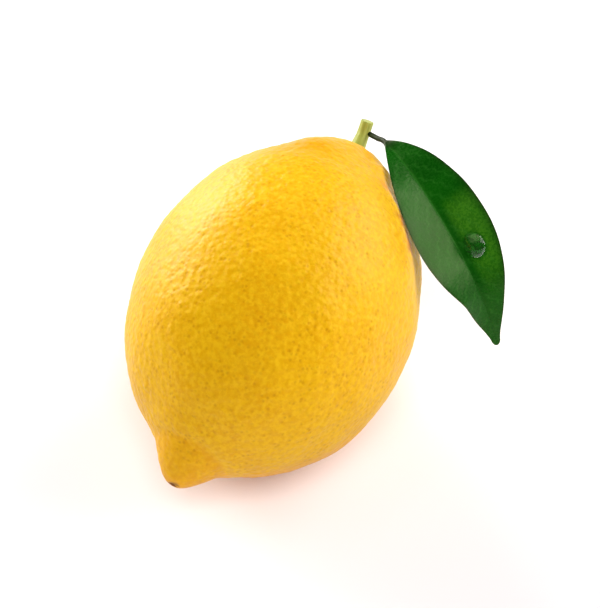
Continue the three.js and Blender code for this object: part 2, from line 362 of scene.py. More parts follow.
# %% Knobs of the collar, and the rub mark
KNOBS = (
    dict(place=(39.6, -12.0, 8.0), height=0.80, width=3.4),
    dict(place=(42.0, -7.4, 10.2), height=-1.10, width=2.8),
    dict(place=(37.0, 3.4, 16.6), height=0.95, width=5.0),
)
RUB_LINE = ((27.6, -21.6, 12.8), (25.8, -23.7, 11.4), (23.9, -25.3, 10.6), (21.2, -26.8, 10.2))
RUB_WIDTH = 1.5
RUB_STEPS = 60


def bell_about(spot):
    """A bell of the distance from a spot on the rind."""
    return bell(np.linalg.norm(smooth - spot["place"], axis=-1), 0, spot["width"])


knobs = sum(knob["height"] * bell_about(knob) for knob in KNOBS)
rub_points = np.array(RUB_LINE, float)
rub_shares = np.linspace(0, len(rub_points) - 1, RUB_STEPS)
rub_dense = [np.interp(rub_shares, np.arange(len(rub_points)), axis) for axis in rub_points.T]
from_rub = np.linalg.norm(smooth[..., None, :] - np.stack(rub_dense, -1), axis=-1).min(-1)
rubbed = bell(from_rub, 0, RUB_WIDTH)
print("knobs from", round(float(knobs.min()), 2), "to", round(float(knobs.max()), 2), "mm")

# %% Warm places, painted shade and a painted highlight
WARM_SHOULDER = dict(place=(35.5, 9.0, 17.0), width=11, share=0.80)
WARM_SPOT = dict(place=(33.9, -14.9, 12.5), width=2.0, share=0.85)
WARM_STEM = dict(width=8, share=0.45)
WARM_TIP = dict(width=13, share=0.25)
# The furrow's and the underside's shares are painted shade; the ridge's share is a painted highlight.
FURROW_PAINTED_SHADE, RIDGE_PAINTED_HIGHLIGHT = 0.15, 0.3
UNDERSIDE_PAINTED_SHADE = dict(heights=(4, 22), share=0.95)

# Warm tones summed with painted shade in the furrow and underneath, and a painted highlight on the ridge.
warmth_and_painted_light = (
    WARM_SHOULDER["share"] * bell_about(WARM_SHOULDER)
    + WARM_SPOT["share"] * bell_about(WARM_SPOT)
    + WARM_STEM["share"] * bell(from_stem, 0, WARM_STEM["width"])
    + WARM_TIP["share"] * bell(from_tip, 0, WARM_TIP["width"])
    + FURROW_PAINTED_SHADE * furrow
    - RIDGE_PAINTED_HIGHLIGHT * ridge
    + UNDERSIDE_PAINTED_SHADE["share"] * np.interp(lay_down(smooth)[..., 2], UNDERSIDE_PAINTED_SHADE["heights"], (1, 0))
)
warmth_and_painted_light = np.clip(warmth_and_painted_light, 0, 1)
print("mean warmth of the rind:", round(float(warmth_and_painted_light.mean()), 2))

# %% The rind's skin
SMOOTH_TIP = 6.5

calm = 1 - bell(from_tip, 0, SMOOTH_TIP)
depth = SKIN_SINK + calm * relief + FURROW["depth"] * furrow - RIDGE["height"] * ridge
depth = depth + CREASES["depth"] * creases + SCAR["depth"] * scar - knobs
lying = lay_down(smooth - depth[..., None] * outward)
lying[..., 2] = np.maximum(lying[..., 2], 0)
rind = skin(
    "rind",
    lying,
    lay_down(stem_pole - [SKIN_SINK, 0, 0]),
    lay_down(flower_tip + [SKIN_SINK, 0, 0]),
    {
        "pitted": (calm, 1, 0),
        "scar": (scar, 0, scar[-1].mean()),
        "warmth_and_painted_light": (warmth_and_painted_light, 0.4, 0.2),
        "rubbed": (rubbed, 0, 0),
    },
)

# %% [markdown]
# ## Lines that other shapes follow
#
# The stem and the leaf each follow a bent line through a few points. A centripetal
# Catmull-Rom line goes through every point without overshooting. It is sampled finely and then
# measured, so that a share of it means a share of its length.

# %% A smooth line through points
LINE_STEPS = 60
LINE_REACH = 0.15


def smooth_line(points, shares):
    """Places at the given shares of the length of a centripetal line through the points, its
    directions there, and its length. Each stretch is the cubic with its two ends' places and speeds."""
    points = np.asarray(points, float)
    padded = np.concatenate([[2 * points[0] - points[1]], points, [2 * points[-1] - points[-2]]])
    knots = np.sqrt(np.linalg.norm(np.diff(padded, axis=0), axis=1))[:, None]
    before, start, end, after = padded[:-3], padded[1:-2], padded[2:-1], padded[3:]
    gap_before, gap, gap_after = knots[:-2], knots[1:-1], knots[2:]
    leave = ((start - before) / gap_before - (end - before) / (gap_before + gap) + (end - start) / gap) * gap
    arrive = ((end - start) / gap - (after - start) / (gap + gap_after) + (after - end) / gap_after) * gap
    t = np.linspace(0, 1, LINE_STEPS, endpoint=False)[:, None, None]
    dense = (
        start
        + leave * t
        + (3 * (end - start) - 2 * leave - arrive) * t**2
        + (2 * (start - end) + leave + arrive) * t**3
    )
    dense = np.concatenate([dense.transpose(1, 0, 2).reshape(-1, 3), points[-1:]])
    measured = np.append(0, np.cumsum(np.linalg.norm(np.diff(dense, axis=0), axis=1)))
    length = measured[-1]

    def at(distance):
        return np.stack([np.interp(distance, measured, dense[:, axis]) for axis in range(3)], -1)

    distance = np.clip(np.asarray(shares, float), 0, 1) * length
    ahead, behind = np.minimum(distance + LINE_REACH, length), np.maximum(distance - LINE_REACH, 0)
    return at(distance), unit(at(ahead) - at(behind)), length


def cross_frame(direction, facing):
    """Out of the facing side, and to the right of it, both square to the line's direction."""
    out = unit(facing - (direction @ facing)[:, None] * direction)
    return out, np.cross(out, direction)


# %% [markdown]
# ## The stem
#
# The stem is a short pale stub that was cut when the fruit was picked. At its foot sit the five
# dried lobes of the calyx. Its skin is a row of rings along a bent line: the calyx is a sudden
# widening whose edge rises and falls five times round, and shallow ridges run up the stub. The
# cut end is closed by rings that shrink inwards, so that it has a crisp edge and its own finish.

# %% The stem's dimensions
STEM_RADIUS = 1.55
STEM_FOOT_REACH = 44.9
STEM_BEND = (54.3, 0.0, 46.9)
STEM_TOP = (56.2, -0.3, 49.7)
CALYX = dict(reach=46.55, radius=3.1, lobes=5, lobe_depth=0.34, lobe_sharpness=1.5)
STEM_RIDGES = dict(count=9, height=0.030, waver=0.8)
CALYX_FADES = (0.75, 1.25)
CUT_FACE_SINK = 0.04

foot = lay_down([STEM_FOOT_REACH, 0, 0])
neck = lay_down([CALYX["reach"] + 1, 0, 0])
stem_points = [foot, neck, STEM_BEND, STEM_TOP]
stem_length = smooth_line(stem_points, [0])[2]
calyx_at = CALYX["reach"] - STEM_FOOT_REACH
print("stem", round(float(stem_length), 1), "mm long, calyx", round(calyx_at, 2), "mm from its foot")

# %% The stem's rings
# Each ring: distance along, radius, depth of the calyx's lobes, depth of the ridges, share of cut face
STEM_RINGS = np.array(
    [
        (0.0, STEM_RADIUS, 0, 0, 0),
        (calyx_at - 0.25, STEM_RADIUS, 0, 0, 0),
        (calyx_at - 0.10, 0.80 * CALYX["radius"], 0.6, 0, 0),
        (calyx_at - 0.02, 0.97 * CALYX["radius"], 1.0, 0, 0),
        (calyx_at + 0.12, CALYX["radius"], 1.0, 0, 0),
        (calyx_at + 0.26, 0.96 * CALYX["radius"], 1.0, 0, 0),
        (calyx_at + 0.40, 0.80 * CALYX["radius"], 0.7, 0.2, 0),
        (calyx_at + 0.60, 1.40 * STEM_RADIUS, 0.2, 0.5, 0),
        (calyx_at + 1.00, 1.33 * STEM_RADIUS, 0, 1, 0),
        (calyx_at + 2.00, 1.22 * STEM_RADIUS, 0, 1, 0),
        ((calyx_at + stem_length) / 2 + 0.6, 1.03 * STEM_RADIUS, 0, 1, 0),
        (stem_length - 1.10, 1.00 * STEM_RADIUS, 0, 1, 0),
        (stem_length - 0.45, 1.02 * STEM_RADIUS, 0, 1, 0),
        (stem_length - 0.16, 1.015 * STEM_RADIUS, 0, 0.8, 0),
        (stem_length - 0.10, 0.96 * STEM_RADIUS, 0, 0.5, 0.5),
        (stem_length - 0.07, 0.90 * STEM_RADIUS, 0, 0, 1),
        (stem_length - 0.12, 0.62 * STEM_RADIUS, 0, 0, 1),
        (stem_length - 0.16, 0.30 * STEM_RADIUS, 0, 0, 1),
    ]
)

# %% The stem's skin
STEM_ROWS, STEM_COLUMNS = 120, 72

ring_place = np.linspace(0, len(STEM_RINGS) - 1, STEM_ROWS)
distance, radius, lobed, ridged, cut = (
    np.interp(ring_place, np.arange(len(STEM_RINGS)), column) for column in STEM_RINGS.T
)
angle = np.arange(STEM_COLUMNS) / STEM_COLUMNS * 2 * math.pi
centre, direction, _ = smooth_line(stem_points, distance / stem_length)
out, right = cross_frame(direction, np.array([0.0, 0.0, 1.0]))
lobe_gap = np.abs(np.sin(CALYX["lobes"] * angle / 2)) ** CALYX["lobe_sharpness"]
lobes = 1 - CALYX["lobe_depth"] * lobed[:, None] * lobe_gap
ridge_angle = STEM_RIDGES["count"] * angle + STEM_RIDGES["waver"] * np.sin(2 * angle)
ridges = 1 + STEM_RIDGES["height"] * ridged[:, None] * np.cos(ridge_angle)
reach = radius[:, None] * lobes * ridges
stem_rows = (
    centre[:, None]
    + right[:, None] * (reach * np.cos(angle))[..., None]
    + out[:, None] * (reach * np.sin(angle))[..., None]
)
calyx_share = np.interp(np.abs(distance - calyx_at - 0.1), CALYX_FADES, (1, 0))
stem = skin(
    "stem_stub",
    stem_rows,
    centre[0],
    centre[-1] - CUT_FACE_SINK * direction[-1],
    {
        "cut": (cut[:, None] + 0 * angle, 0, 1),
        "calyx": (calyx_share[:, None] + 0 * angle, 0, 0),
        "ridge": (ridges, 1, 1),
        "reach": (reach, 0, 0),
    },
)

# %% [markdown]
# ## The leaf
#
# The leaf is one skin from the foot of its petiole to its tip. Its line runs along the petiole
# and the midrib. Across it, the blade is folded like an open book: each half rises from the
# midrib at its own angle and reaches out by its own curve, an oval that is drawn out more at
# the tip than at the base, with a slow wave in the margin. Veins are sunk a little into the
# upper face and stand out of the lower one. About its middle the right half has a lighter
# yellow-green patch, which is painted light, and where the drop of water lies the patch is left
# out, which is painted shade, so the drop's place is named here too.

# %% The leaf's dimensions
PETIOLE_START = (54.4, -1.7, 47.3)
PETIOLE_BEND = (51.8, -4.95, 49.3)
MIDRIB = (
    (48.8, -8.1, 51.8),
    (41.8, -18.2, 51.2),
    (34.9, -28.2, 48.0),
    (30.0, -37.1, 41.1),
    (27.8, -43.9, 30.8),
    (27.9, -48.04, 19.1),
)
LEAF_FACING = np.array([-0.6, -0.29, 0.74])
LEFT_HALF = dict(
    width=10.25, base=1.15, tip=1.42, wave=1.08, waves=1.58, start=math.radians(282), rise=math.radians(36)
)
RIGHT_HALF = dict(
    width=9.46, base=0.86, tip=1.15, wave=0.74, waves=1.0, start=math.radians(328), rise=math.radians(9)
)
FOLD_OPENS = (0.72, 0.93)
FOLD_OVERSHOOT = 1.2
TIP_ROUNDING = dict(start=0.975, length=0.026, least=0.04)
BLADE_THICKNESS = 0.36
PETIOLE_RADIUS = 0.64
TIP_WIDTH = 1.0
RIB_HEIGHT = (0.45, 0.12)
RIB_WIDTH = 0.8

leaf_points = [PETIOLE_START, PETIOLE_BEND, *MIDRIB]
leaf_length = smooth_line(leaf_points, [0])[2]
petiole_length = np.linalg.norm(np.diff(np.array(leaf_points[:3]), axis=0), axis=1).sum()
blade_length = leaf_length - petiole_length
print("petiole", round(float(petiole_length), 1), "mm, blade", round(float(blade_length), 1), "mm")


# %% The blade's outline and folds
def half_width(half, along):
    """How far a half reaches from the midrib: width * (s / w)^base * ((1 - s) / (1 - w))^tip, with
    its widest place w at base / (base + tip), plus the margin's wave, which dies at both ends."""
    widest = half["base"] / (half["base"] + half["tip"])
    oval = (along / widest) ** half["base"] * ((1 - along) / (1 - widest)) ** half["tip"]
    wave = np.sin(2 * math.pi * half["waves"] * along**2 + half["start"])
    return half["width"] * oval + half["wave"] * np.sin(math.pi * along) * wave


def blade_middle(distance, across):
    """Points in the middle of the blade's thickness: out along each half by its width, and up by the
    sine of its rise, both times the place across, which runs from -1 at the left margin to 1."""
    distance, across = np.broadcast_arrays(distance, across)
    along = np.clip((distance - petiole_length) / blade_length, 0, 1)
    flat_distance = distance.ravel()
    centre, direction, _ = smooth_line(leaf_points, flat_distance / leaf_length)
    out, right = cross_frame(direction, unit(LEAF_FACING))
    shape = distance.shape + (3,)
    centre, out, right = centre.reshape(shape), out.reshape(shape), right.reshape(shape)
    left = across < 0
    blade = np.where(left, half_width(LEFT_HALF, along), half_width(RIGHT_HALF, along))
    left_rise = LEFT_HALF["rise"] * (1 - FOLD_OVERSHOOT * blend_in(along, *FOLD_OPENS))
    rise = np.where(left, left_rise, RIGHT_HALF["rise"])
    stalk = PETIOLE_RADIUS + (TIP_WIDTH - PETIOLE_RADIUS) * along
    near_tip = ((along - TIP_ROUNDING["start"]) / TIP_ROUNDING["length"]).clip(0, 1)
    stalk = stalk * np.sqrt(np.clip(1 - near_tip**2, TIP_ROUNDING["least"], 1))
    width = np.hypot(blade, stalk) * across
    lift = np.abs(blade * across) * np.sin(rise)
    flat = np.sqrt(np.clip(width**2 - lift**2, 0, None)) * np.sign(across)
    point = centre + right * flat[..., None] + out * lift[..., None]
    return point, out, right, along, width


# %% Veins
VEIN_SPACING = 4.6
VEIN_SLANT = 0.95
VEIN_BEND = 0.045
VEIN_WANDER = dict(height=0.10, rate=3.1)
VEIN_WIDTH = (0.22, 0.32)
VEIN_FADES_IN, VEIN_FADES_OUT = (0.2, 1.0), (10.5, 5.0)


def vein_lines(along, width):
    """Bells round the lines that leave the midrib at even steps, half a step apart left and right.
    A line lies at slant * side + bend * side^2 along the midrib, plus a small wander."""
    side = np.abs(width)
    place = along * blade_length - VEIN_SLANT * side - VEIN_BEND * side**2
    wander = VEIN_WANDER["height"] * np.sin(VEIN_WANDER["rate"] * along * blade_length)
    place = place / VEIN_SPACING + np.where(width < 0, 0.5, 0.0) + wander
    off = np.abs(place - np.round(place)) * VEIN_SPACING
    narrow = VEIN_WIDTH[0] + (VEIN_WIDTH[1] - VEIN_WIDTH[0]) * blend_in(side, 6, 0)
    return bell(off, 0, narrow) * blend_in(side, *VEIN_FADES_IN) * blend_in(side, *VEIN_FADES_OUT)


# %% The leaf's rings
PETIOLE_ROWS, BLADE_ROWS, LEAF_COLUMNS = 30, 270, 168
MIDRIB_CROWDING = 1.6
BLADE_OPENS = (0.0, 0.07)
EDGE_SHARPNESS = 0.4

leaf_places = np.concatenate(
    [
        np.linspace(0, petiole_length, PETIOLE_ROWS, endpoint=False),
        petiole_length + blade_length * np.linspace(0, 1, BLADE_ROWS),
    ]
)
leaf_angle = np.arange(LEAF_COLUMNS) / LEAF_COLUMNS * 2 * math.pi
cosine, sine = np.cos(leaf_angle), np.sin(leaf_angle)
across = np.sign(cosine) * np.abs(cosine) ** MIDRIB_CROWDING
middle, leaf_out, leaf_right, along, width = blade_middle(leaf_places[:, None], across[None])
opened = blend_in(along, *BLADE_OPENS)
round_section, _, _, _, round_width = blade_middle(leaf_places[:, None], cosine[None])
middle = middle * opened[..., None] + round_section * (1 - opened[..., None])
width = width * opened + round_width * (1 - opened)
upper = np.sign(np.where(np.abs(sine) < 1e-9, 0, sine))[None]
thickness = PETIOLE_RADIUS + (BLADE_THICKNESS / 2 - PETIOLE_RADIUS) * opened
lift = thickness * np.abs(sine) ** (1 + (EDGE_SHARPNESS - 1) * opened)
print("leaf grid:", *middle.shape[:2])

# %% Rib, veins and ripple
VEIN_RELIEF = 0.022
GROOVE = dict(depth=0.10, width=0.35, fades=0.6)
RIPPLE = dict(height=0.24, count=5.5, shift=0.2, start=1.0, full_at=10)
QUILT = dict(height=0.016, lengths=(3.0, 6.5), waves=40)

rib = opened * (RIB_HEIGHT[0] + (RIB_HEIGHT[1] - RIB_HEIGHT[0]) * along) * bell(width, 0, RIB_WIDTH)
veins = opened * vein_lines(along, width)
groove = opened * bell(width, 0, GROOVE["width"]) * (1 - GROOVE["fades"] * along)
under = upper < 0
sunk = GROOVE["depth"] * groove + VEIN_RELIEF * veins
lift = np.where(under, lift + rib + VEIN_RELIEF * veins, lift - sunk)
edge = np.clip(np.abs(width) / RIPPLE["full_at"], 0, 1) ** 2
ripple_turns = RIPPLE["count"] * along + RIPPLE["shift"] * np.sign(width)
ripple = RIPPLE["height"] * edge * opened * np.sin(2 * math.pi * ripple_turns + RIPPLE["start"])
leaf_rows = middle + leaf_out * (upper * lift + ripple)[..., None]
quilt = waves(np.stack([width, along * blade_length, 0 * width], -1), *QUILT["lengths"], QUILT["waves"])
leaf_rows = leaf_rows + leaf_out * (QUILT["height"] * quilt * opened)[..., None]
print("ripple up to", round(float(np.abs(ripple).max()), 2), "mm")

# %% Where the leaf changes colour, and its skin
MIDRIB_LINE = dict(width=0.30, fades=(0.85, 0.45))
MARGIN_SHARPNESS, MARGIN_FROM = 24, 0.9
PAINTED_LIGHT_PATCH = dict(starts=(0.34, 0.41), ends=(0.80, 0.58), from_rib=(0.8, 3.2), to_margin=(7.0, 9.5), fades=0.5)
# Painted shade under the drop: the range over which the light patch fades out round it.
PAINTED_SHADE_UNDER_DROP = (0.40, 0.62)
DROP = dict(along=0.56, across=0.39, length=6.4, width=5.3, height=1.10, sunk=0.28)

# Painted light: a lighter yellow-green patch about the middle of the right half.
painted_light_patch = blend_in(along, *PAINTED_LIGHT_PATCH["starts"]) * blend_in(along, *PAINTED_LIGHT_PATCH["ends"])
painted_light_patch = painted_light_patch * blend_in(width, *PAINTED_LIGHT_PATCH["from_rib"])
painted_light_patch = painted_light_patch * (1 - PAINTED_LIGHT_PATCH["fades"] * blend_in(width, *PAINTED_LIGHT_PATCH["to_margin"]))
ahead_of_drop = (along - DROP["along"]) * blade_length / DROP["length"]
beside_drop = (width - DROP["across"] * half_width(RIGHT_HALF, DROP["along"])) / DROP["width"]
# Painted shade: the patch is left out under the drop, so the leaf there stays deep green.
painted_light_patch = painted_light_patch * blend_in(np.hypot(ahead_of_drop, beside_drop), *PAINTED_SHADE_UNDER_DROP)
midrib_line = opened * bell(width, 0, MIDRIB_LINE["width"]) * blend_in(along, *MIDRIB_LINE["fades"])
margin_line = np.where(opened > MARGIN_FROM, np.abs(cosine)[None] ** MARGIN_SHARPNESS, 0) + 0 * along
leaf = skin(
    "leaf_blade",
    leaf_rows,
    leaf_rows[0].mean(0),
    leaf_rows[-1].mean(0),
    {
        "vein": (veins, 0, 0),
        "midrib": (midrib_line, 0, 0),
        "under": (under + 0.0 * along, 1, 1),
        "blade": (opened, 0, 1),
        "painted_light_patch": (painted_light_patch, 0, 0),
        "margin": (margin_line, 0, 1),
    },
)

# %% [markdown]
# ## The drop of water
#
# A small drop on a waxy leaf draws itself up into a low dome, longer along the blade than
# across it. Its underside is sunk just under the leaf's upper face, so the leaf shows through
# the water with no air between them.

# %% The drop
DROP_ROWS, DROP_COLUMNS = 40, 64
DROP_WOBBLES = ((0.03, 2, 0.7), (0.02, 3, 0.0))
DROP_TOP = 0.004
AHEAD = 0.02

drop_at = petiole_length + blade_length * DROP["along"]
seat, seat_out, _, _, _ = blade_middle(np.array([drop_at]), np.array([DROP["across"]]))
inner = blade_middle(np.array([drop_at]), np.array([DROP["across"] / 2]))[0]
ahead = blade_middle(np.array([drop_at + AHEAD * leaf_length]), np.array([DROP["across"]]))[0]
drop_right = unit(seat - inner)[0]
drop_up = unit(np.cross(ahead - seat, drop_right[None]))[0]
drop_along = np.cross(drop_right, drop_up)
tall = np.linspace(0, 1, DROP_ROWS)[:, None]
round_drop = (np.arange(DROP_COLUMNS) / DROP_COLUMNS * 2 * math.pi)[None]
dome_height = np.sin(tall * math.pi / 2) ** 2
dome_reach = np.cos(tall * math.pi / 2)
wobble = sum(size * np.cos(times * round_drop + start) for size, times, start in DROP_WOBBLES)
dome_reach = np.maximum(dome_reach, DROP_TOP) * (1 + wobble)
base = seat[0] + drop_up * (BLADE_THICKNESS / 2 - DROP["sunk"])
drop_rows = (
    base
    + drop_right * (DROP["width"] / 2 * dome_reach * np.cos(round_drop))[..., None]
    + drop_along * (DROP["length"] / 2 * dome_reach * np.sin(round_drop))[..., None]
    + drop_up * ((DROP["height"] + DROP["sunk"]) * dome_height + 0 * round_drop)[..., None]
)
drop = skin("drop", drop_rows, base, drop_rows[-1].mean(0), {})
print("drop at", np.round(base, 1))

# %% [markdown]
# ## Effects that finishes share
#
# The finishes share two things: slow mottling of their colour, and a fine relief that is too
# small for the mesh. Each is a node group with named inputs, built once and placed in a material
# with that material's own values. Both read Object coordinates, so they stay fixed in the piece
# and have no seams. Object coordinates are in metres, so a grain of one millimetre has a scale
# of about a thousand.

# %% Node helpers
def node(tree, kind, **settings):
    """Adds a node and sets its properties, and its inputs where a setting's name is one of theirs."""
    made = tree.nodes.new(kind)
    for key, value in settings.items():
        if key in made.inputs:
            made.inputs[key].default_value = value
        else:
            setattr(made, key, value)
    return made


def join(tree, output, target):
    tree.links.new(output, target)


def maths(tree, operation, first, second=0.5, third=0.0):
    """A maths node on sockets or plain numbers; gives its output."""
    made = tree.nodes.new("ShaderNodeMath")
    made.operation = operation
    for socket, value in zip(made.inputs, (first, second, third)):
        if isinstance(value, (int, float)):
            socket.default_value = value
        else:
            tree.links.new(value, socket)
    return made.outputs[0]


def mix_colour(tree, share, first, second):
    """Mixes two colours, each a socket or a colour, by a share; gives the result."""
    made = tree.nodes.new("ShaderNodeMix")
    made.data_type = "RGBA"
    for socket, value in ((made.inputs[0], share), (made.inputs[6], first), (made.inputs[7], second)):
        if isinstance(value, (int, float, tuple)):
            socket.default_value = value
        else:
            tree.links.new(value, socket)
    return made.outputs[2]


def tint(tree, colour, value, share, towards):
    """The colour, mixed towards another one by a value times a share."""
    return mix_colour(tree, maths(tree, "MULTIPLY", value, share), colour, towards)


def spread(tree, value, low, high, to_low=0.0, to_high=1.0):
    """Maps a value from one range to another, with a smooth start and end."""
    made = node(tree, "ShaderNodeMapRange", interpolation_type="SMOOTHSTEP")
    for socket, number in zip(made.inputs[1:5], (low, high, to_low, to_high)):
        socket.default_value = number
    join(tree, value, made.inputs[0])
    return made.outputs[0]


def attribute(tree, name):
    return node(tree, "ShaderNodeAttribute", attribute_name=name).outputs["Fac"]


# %% The shared groups
def new_group(name, inputs, outputs):
    """An empty node group with float inputs and outputs of the given names."""
    tree = bpy.data.node_groups.new(name, "ShaderNodeTree")
    for label, value in inputs.items():
        socket = tree.interface.new_socket(label, in_out="INPUT", socket_type="NodeSocketFloat")
        socket.default_value = value
    for label in outputs:
        tree.interface.new_socket(label, in_out="OUTPUT", socket_type="NodeSocketFloat")
    return tree, tree.nodes.new("NodeGroupInput"), tree.nodes.new("NodeGroupOutput")


def noise(tree, scale, detail, roughness=0.5):
    """Noise on Object coordinates; the scale is a socket or a number."""
    place = node(tree, "ShaderNodeTexCoord")
    made = node(tree, "ShaderNodeTexNoise", Detail=detail, Roughness=roughness)
    join(tree, place.outputs["Object"], made.inputs["Vector"])
    if isinstance(scale, (int, float)):
        made.inputs["Scale"].default_value = scale
    else:
        join(tree, scale, made.inputs["Scale"])
    return made.outputs[0]


def make_mottling():
    """Broad patches from slow noise, and flecks from quick noise, each sharpened by a contrast."""
    inputs = {"Patch Scale": 60, "Fleck Scale": 500}
    tree, given, result = new_group("mottling", inputs, ("Patches", "Flecks"))
    patches = spread(tree, noise(tree, given.outputs["Patch Scale"], 2), 0.30, 0.70)
    flecks = spread(tree, noise(tree, given.outputs["Fleck Scale"], 3, 0.6), 0.35, 0.68)
    join(tree, patches, result.inputs["Patches"])
    join(tree, flecks, result.inputs["Flecks"])
    return tree


def make_fine_relief():
    """A height from rounded cells, which are cushions with sunken joints, plus quick noise."""
    inputs = {"Cell Scale": 900, "Grain Scale": 2500, "Grain": 0.3}
    tree, given, result = new_group("fine relief", inputs, ("Height",))
    place = node(tree, "ShaderNodeTexCoord")
    cells = node(tree, "ShaderNodeTexVoronoi", feature="SMOOTH_F1", Smoothness=0.6)
    join(tree, place.outputs["Object"], cells.inputs["Vector"])
    join(tree, given.outputs["Cell Scale"], cells.inputs["Scale"])
    grain = maths(tree, "MULTIPLY", noise(tree, given.outputs["Grain Scale"], 2), given.outputs["Grain"])
    height = maths(tree, "SUBTRACT", grain, cells.outputs["Distance"])
    join(tree, height, result.inputs["Height"])
    return tree


MOTTLING = make_mottling()
FINE_RELIEF = make_fine_relief()
print("shared effects:", MOTTLING.name, "and", FINE_RELIEF.name)


def place_group(tree, group, **values):
    """A group in a material, with its own values; an underscore in a name stands for a space."""
    made = tree.nodes.new("ShaderNodeGroup")
    made.node_tree = group
    for key, value in values.items():
        made.inputs[key.replace("_", " ")].default_value = value
    return made


def bump(tree, height, distance_mm, below=None):
    """A bump whose height of one stands for that many millimetres, on top of another one if given."""
    made = node(tree, "ShaderNodeBump", Strength=1.0, Distance=distance_mm * MM)
    join(tree, height, made.inputs["Height"])
    if below is not None:
        join(tree, below, made.inputs["Normal"])
    return made.outputs[0]


def new_material(name, **sockets):
    """A Principled material; plain numbers go straight onto the shader's own sockets."""
    material = bpy.data.materials.new(name)
    material.use_nodes = True
    shader = material.node_tree.nodes["Principled BSDF"]
    for key, value in sockets.items():
        shader.inputs[key.replace("_", " ")].default_value = value
    return material, material.node_tree, shader


# %% [markdown]
# ## The rind's finish
#
# Lemon yellow is not one colour. Slow patches drift between lemon and golden yellow, flecks
# between them are paler, and the shoulder and the ends are warmer. The furrow round the nipple
# and the underside are a darker orange, which is painted shade, and the ridge outside the furrow
# is paler, which is a painted highlight. The pores are deeper and more orange, partly from the
# glands' own colour and partly from painted shade in the pits. They are a pattern of their own,
# finer than the hollows in the surface: the distance to the middle of the cell that a point is
# in, on Object coordinates, gives round dots that darken the colour and dent the relief. A thin
# natural wax makes the rind shine softly, and a little light goes in and comes out again, which
# keeps the shadows warm.

# %% The rind's material
LEMON = (0.708, 0.385, 0.0015, 1)
GOLDEN = (0.665, 0.305, 0.0008, 1)
PALE_LEMON = (0.820, 0.515, 0.0120, 1)
# The pores' colour is partly the glands' own and partly painted shade in the pits.
PORE_DARK_AND_SHADE = (0.450, 0.195, 0.0002, 1)
RIND_ORANGE = (0.725, 0.262, 0.0005, 1)
SCAR_BROWN = (0.160, 0.048, 0.004, 1)
RUB_BROWN = (0.480, 0.160, 0.006, 1)
GOLDEN_SHARE, PALE_SHARE = 0.45, 0.60
PORE_SCALE = 800
PORE_RADIUS, PORE_FLOOR = 0.46, 0.06
PORE_DEPTH = 0.04
PORE_SHARE = 0.42
PORE_DRIFT = dict(noise=(0.34, 0.64), strength=(0.15, 1.0))
RUB_SPECKS = dict(scale=420, noise=(0.40, 0.54), share=0.9)
RIND_ROUGHNESS, SCAR_ROUGHNESS = (0.40, 0.50), 0.8
CUSHION_HEIGHT = 0.15


def pores(tree):
    """A round pore at the middle of each cell: one at the centre, nought at the pore's radius. Its
    strength drifts from place to place and is nought on the smooth tip."""
    place = node(tree, "ShaderNodeTexCoord")
    cells = node(tree, "ShaderNodeTexVoronoi", feature="F1", Scale=PORE_SCALE)
    join(tree, place.outputs["Object"], cells.inputs["Vector"])
    pore = spread(tree, cells.outputs["Distance"], PORE_RADIUS, PORE_FLOOR)
    drift = spread(tree, noise(tree, PORE_SCALE / 4, 2), *PORE_DRIFT["noise"], *PORE_DRIFT["strength"])
    return maths(tree, "MULTIPLY", maths(tree, "MULTIPLY", pore, drift), attribute(tree, "pitted"))


def make_rind_finish():
    """Yellow patches, then paler flecks, the warm places with painted shade and a painted highlight, pores
    darkened partly by painted shade, the rub mark and the scar.
    """
    material, tree, shader = new_material(
        "rind", Subsurface_Weight=0.10, Subsurface_Scale=0.002, Specular_IOR_Level=0.42, IOR=1.45
    )
    shader.inputs["Specular Tint"].default_value = (1.0, 0.98, 0.72, 1)
    shader.inputs["Subsurface Radius"].default_value = (1.0, 0.55, 0.12)
    mottling = place_group(tree, MOTTLING, Patch_Scale=48, Fleck_Scale=880)
    colour = tint(tree, LEMON, mottling.outputs["Patches"], GOLDEN_SHARE, GOLDEN)
    colour = tint(tree, colour, mottling.outputs["Flecks"], PALE_SHARE, PALE_LEMON)
    # Warm tones, with painted shade in the furrow and underneath and a painted highlight on the ridge.
    colour = mix_colour(tree, attribute(tree, "warmth_and_painted_light"), colour, RIND_ORANGE)
    pore = pores(tree)
    # Darker pores: the glands' own colour and painted shade in the pits.
    colour = tint(tree, colour, pore, PORE_SHARE, PORE_DARK_AND_SHADE)
    specks = spread(tree, noise(tree, RUB_SPECKS["scale"], 3, 0.6), *RUB_SPECKS["noise"])
    specks = maths(tree, "MULTIPLY", specks, attribute(tree, "rubbed"))
    colour = tint(tree, colour, specks, RUB_SPECKS["share"], RUB_BROWN)
    colour = mix_colour(tree, attribute(tree, "scar"), colour, SCAR_BROWN)
    join(tree, colour, shader.inputs["Base Color"])
    waxed = spread(tree, mottling.outputs["Flecks"], 0, 1, *RIND_ROUGHNESS)
    dry = maths(tree, "MULTIPLY", attribute(tree, "scar"), SCAR_ROUGHNESS)
    join(tree, maths(tree, "MAXIMUM", waxed, dry), shader.inputs["Roughness"])
    cushions = place_group(tree, FINE_RELIEF, Cell_Scale=840, Grain_Scale=2600, Grain=0.25)
    ground = bump(tree, cushions.outputs["Height"], CUSHION_HEIGHT)
    pitted = bump(tree, maths(tree, "MULTIPLY", pore, -1.0), PORE_DEPTH, ground)
    join(tree, pitted, shader.inputs["Normal"])
    return material


# %% [markdown]
# ## The stem's finish
#
# The stub is pale yellow-green with an olive edge, lighter on its ridges. The calyx has dried
# to a brownish green at the tips of its lobes, and the cut face shows a pale pith inside a
# greener ring of bark.

